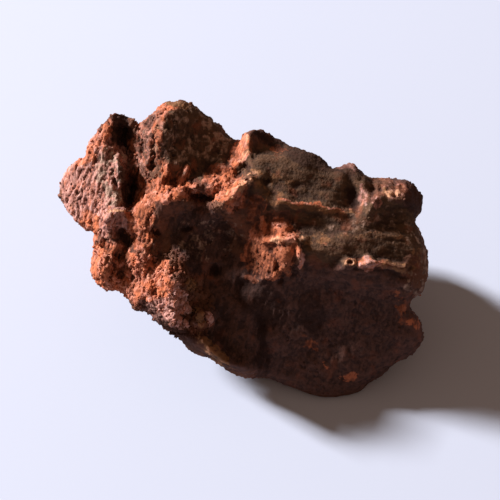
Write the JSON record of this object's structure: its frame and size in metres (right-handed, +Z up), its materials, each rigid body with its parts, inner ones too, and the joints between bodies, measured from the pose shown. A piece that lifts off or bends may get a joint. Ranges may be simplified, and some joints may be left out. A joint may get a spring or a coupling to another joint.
{
  "type": "uranophane specimen",
  "caption": "Rough, craggy lump of reddish-brown iron-stained rock with granular ochre patches, a display or collector's specimen that lies on a flat patch of its underside.",
  "frame": {"origin": "under the middle of the bounding box, on the surface that the lump rests on", "axes": "+X along the long side, towards the blunt dark end; +Y towards the back, away from the show face; +Z up"},
  "size_m": [0.0922, 0.0618, 0.0522],
  "materials": {
    "rock": "matte, rough and granular"
  },
  "bodies": {
    "root": {"rock": "rock"}
  },
  "joints": []
}
